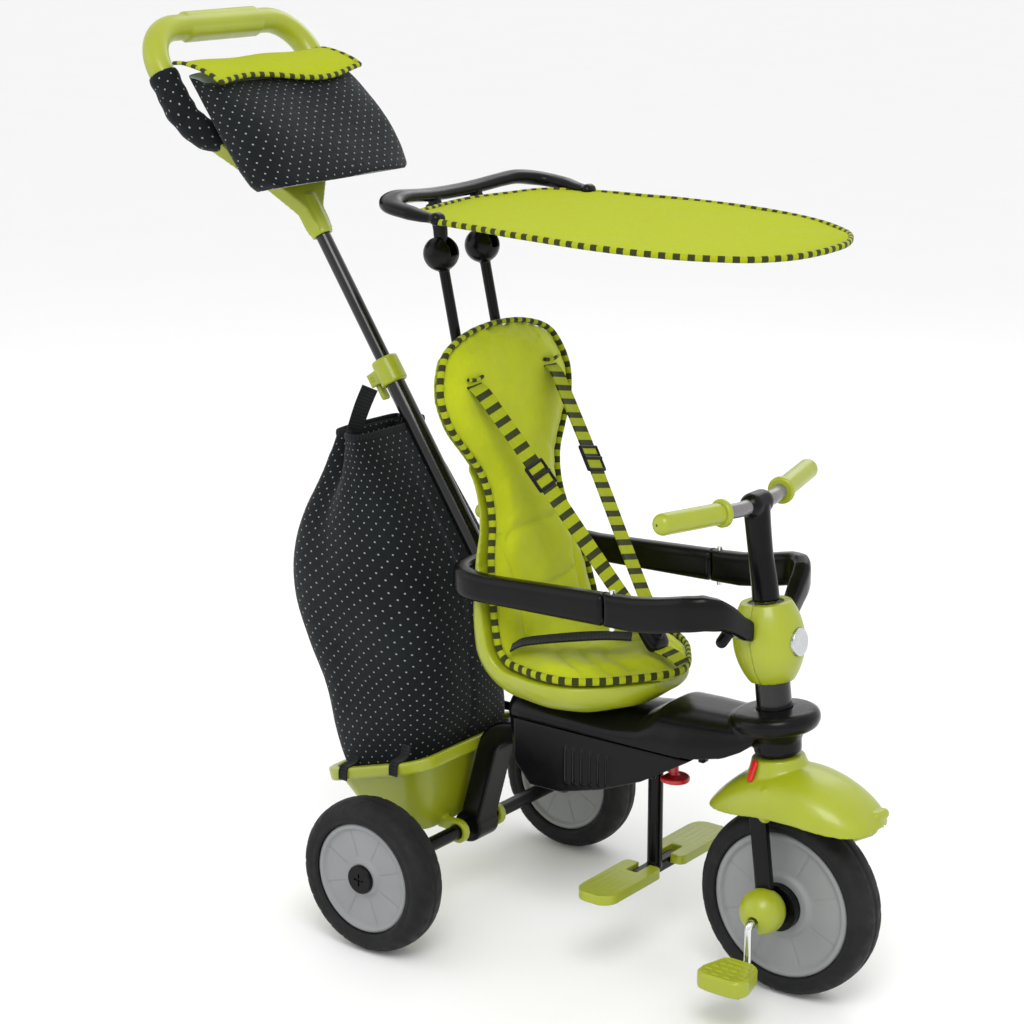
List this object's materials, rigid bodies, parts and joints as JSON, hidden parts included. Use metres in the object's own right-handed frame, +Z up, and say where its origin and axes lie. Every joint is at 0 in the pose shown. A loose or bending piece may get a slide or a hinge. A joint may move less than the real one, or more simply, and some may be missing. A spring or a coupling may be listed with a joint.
{
  "type": "children's tricycle",
  "caption": "Children's tricycle with a parent's push handle, tilting sunshade, opening safety bar, folding footrest, storage bag and harnessed bucket seat.",
  "frame": {"origin": "on the ground, under the middle of the tricycle's length and width", "axes": "+X forward, +Y to the rider's left, +Z up"},
  "size_m": [0.9273, 0.43, 1.0166],
  "materials": {
    "lime_plastic": "moulded",
    "black_plastic": "moulded",
    "black_metal": "gloss paint",
    "grey_plastic": "satin",
    "tyre_rubber": "matte",
    "bright_steel": "polished",
    "silver_tube": "satin paint",
    "silver_badge": "satin",
    "red_plastic": "moulded",
    "lime_fabric": "woven",
    "dotted_fabric": "woven, dotted",
    "webbing": "woven"
  },
  "bodies": {
    "frame": {"column_housing_front": "lime_plastic", "column_housing_rear": "lime_plastic", "seat_shell": "lime_plastic", "storage_bucket": "lime_plastic", "pole_collar": "lime_plastic", "body_upper_shell": "black_plastic", "body_lower_pan": "black_plastic", "rear_strut": "black_plastic", "safety_bar_hoop": "black_plastic", "canopy_post_left": "black_plastic", "canopy_post_right": "black_plastic", "harness_hardware": "black_plastic", "steering_bushes": "black_plastic", "axle_sleeves": "black_plastic", "head_tube": "black_metal", "pole_lower": "black_metal", "rear_axle": "bright_steel", "arm_hinge_pins": "bright_steel", "axle_nuts": "bright_steel", "housing_badge": "silver_badge", "seat_cushion": "lime_fabric", "back_cushion": "lime_fabric", "storage_bag": "dotted_fabric", "harness_straps": "webbing", "bag_webbing": "webbing"},
    "steering": {"fork": "black_plastic", "steering_shaft": "bright_steel", "front_fender": "lime_plastic", "fork_cover_left": "lime_plastic", "fork_cover_right": "lime_plastic", "handlebar_stem": "black_plastic", "handlebar_tube": "silver_tube", "grip_left": "lime_plastic", "grip_right": "lime_plastic"},
    "front_wheel": {"front_tyre": "tyre_rubber", "front_rim": "grey_plastic", "front_hub": "black_plastic", "crank": "bright_steel"},
    "push_pole": {"pole_upper": "black_metal", "push_handle": "lime_plastic", "handle_pouch": "dotted_fabric"},
    "canopy": {"canopy_bracket": "black_plastic", "canopy_fabric": "lime_fabric"},
    "footrest": {"footrest_post": "black_plastic"},
    "collar_lever": {"collar_lever": "lime_plastic"},
    "footrest_lever": {"footrest_lever": "red_plastic"},
    "steering_lock_lever": {"steering_lock_lever": "red_plastic"},
    "pedal_left": {"pedal_left": "lime_plastic"},
    "rear_wheel_left": {"rear_tyre_left": "tyre_rubber", "rear_rim_left": "grey_plastic", "hub_cap_left": "black_plastic"},
    "safety_arm_left": {"safety_arm_left": "black_plastic"},
    "foot_pad_left": {"foot_pad_left": "lime_plastic"},
    "pedal_right": {"pedal_right": "lime_plastic"},
    "rear_wheel_right": {"rear_tyre_right": "tyre_rubber", "rear_rim_right": "grey_plastic", "hub_cap_right": "black_plastic"},
    "safety_arm_right": {"safety_arm_right": "black_plastic"},
    "foot_pad_right": {"foot_pad_right": "lime_plastic"}
  },
  "joints": [
    {"name": "steer", "type": "hinge", "parent": "frame", "child": "steering", "pos_m": [0.353, 0, 0.105], "axis": [-0.1224, 0, 0.9925], "range_deg": [-32, 32]},
    {"name": "front_wheel_spin", "type": "hinge", "parent": "steering", "child": "front_wheel", "pos_m": [0.353, 0, 0.105], "axis": [0, 1, 0], "continuous": true},
    {"name": "pole_slide", "type": "slide", "parent": "frame", "child": "push_pole", "axis": [0.5505, 0, -0.8348], "range_m": [0, 0.13]},
    {"name": "canopy_tilt", "type": "hinge", "parent": "frame", "child": "canopy", "pos_m": [-0.093, 0, 0.768], "axis": [0, 1, 0], "range_deg": [-35, 20]},
    {"name": "footrest_fold", "type": "hinge", "parent": "frame", "child": "footrest", "pos_m": [0.177, 0, 0.226], "axis": [0, 1, 0], "range_deg": [0, 42]},
    {"name": "collar_lever_open", "type": "hinge", "parent": "frame", "child": "collar_lever", "pos_m": [-0.21769, 0, 0.60444], "axis": [0, 1, 0], "range_deg": [0, 70]},
    {"name": "footrest_release", "type": "slide", "parent": "frame", "child": "footrest_lever", "axis": [0, 0, 1], "range_m": [0, 0.004], "stiffness_N_per_m": 300},
    {"name": "steering_lock", "type": "hinge", "parent": "steering", "child": "steering_lock_lever", "pos_m": [0.32286, -0.02689, 0.26067], "axis": [-0.3868, -0.8261, 0.4097], "range_deg": [-12, 12]},
    {"name": "pedal_spin_left", "type": "hinge", "parent": "front_wheel", "child": "pedal_left", "pos_m": [0.353, 0.12, 0.152], "axis": [0, 1, 0], "continuous": true},
    {"name": "rear_wheel_spin_left", "type": "hinge", "parent": "frame", "child": "rear_wheel_left", "pos_m": [-0.075, 0.19, 0.089], "axis": [0, 1, 0], "continuous": true},
    {"name": "safety_arm_swing_left", "type": "hinge", "parent": "frame", "child": "safety_arm_left", "pos_m": [0.188, 0.105, 0.426], "axis": [0, 0, 1], "range_deg": [0, 55]},
    {"name": "foot_pad_fold_left", "type": "hinge", "parent": "footrest", "child": "foot_pad_left", "pos_m": [0.177, 0.03, 0.097], "axis": [1, 0, 0], "range_deg": [0, 48]},
    {"name": "pedal_spin_right", "type": "hinge", "parent": "front_wheel", "child": "pedal_right", "pos_m": [0.353, -0.12, 0.058], "axis": [0, 1, 0], "continuous": true},
    {"name": "rear_wheel_spin_right", "type": "hinge", "parent": "frame", "child": "rear_wheel_right", "pos_m": [-0.075, -0.19, 0.089], "axis": [0, 1, 0], "continuous": true},
    {"name": "safety_arm_swing_right", "type": "hinge", "parent": "frame", "child": "safety_arm_right", "pos_m": [0.188, -0.105, 0.426], "axis": [0, 0, -1], "range_deg": [0, 55]},
    {"name": "foot_pad_fold_right", "type": "hinge", "parent": "footrest", "child": "foot_pad_right", "pos_m": [0.177, -0.03, 0.097], "axis": [-1, 0, 0], "range_deg": [0, 48]}
  ]
}
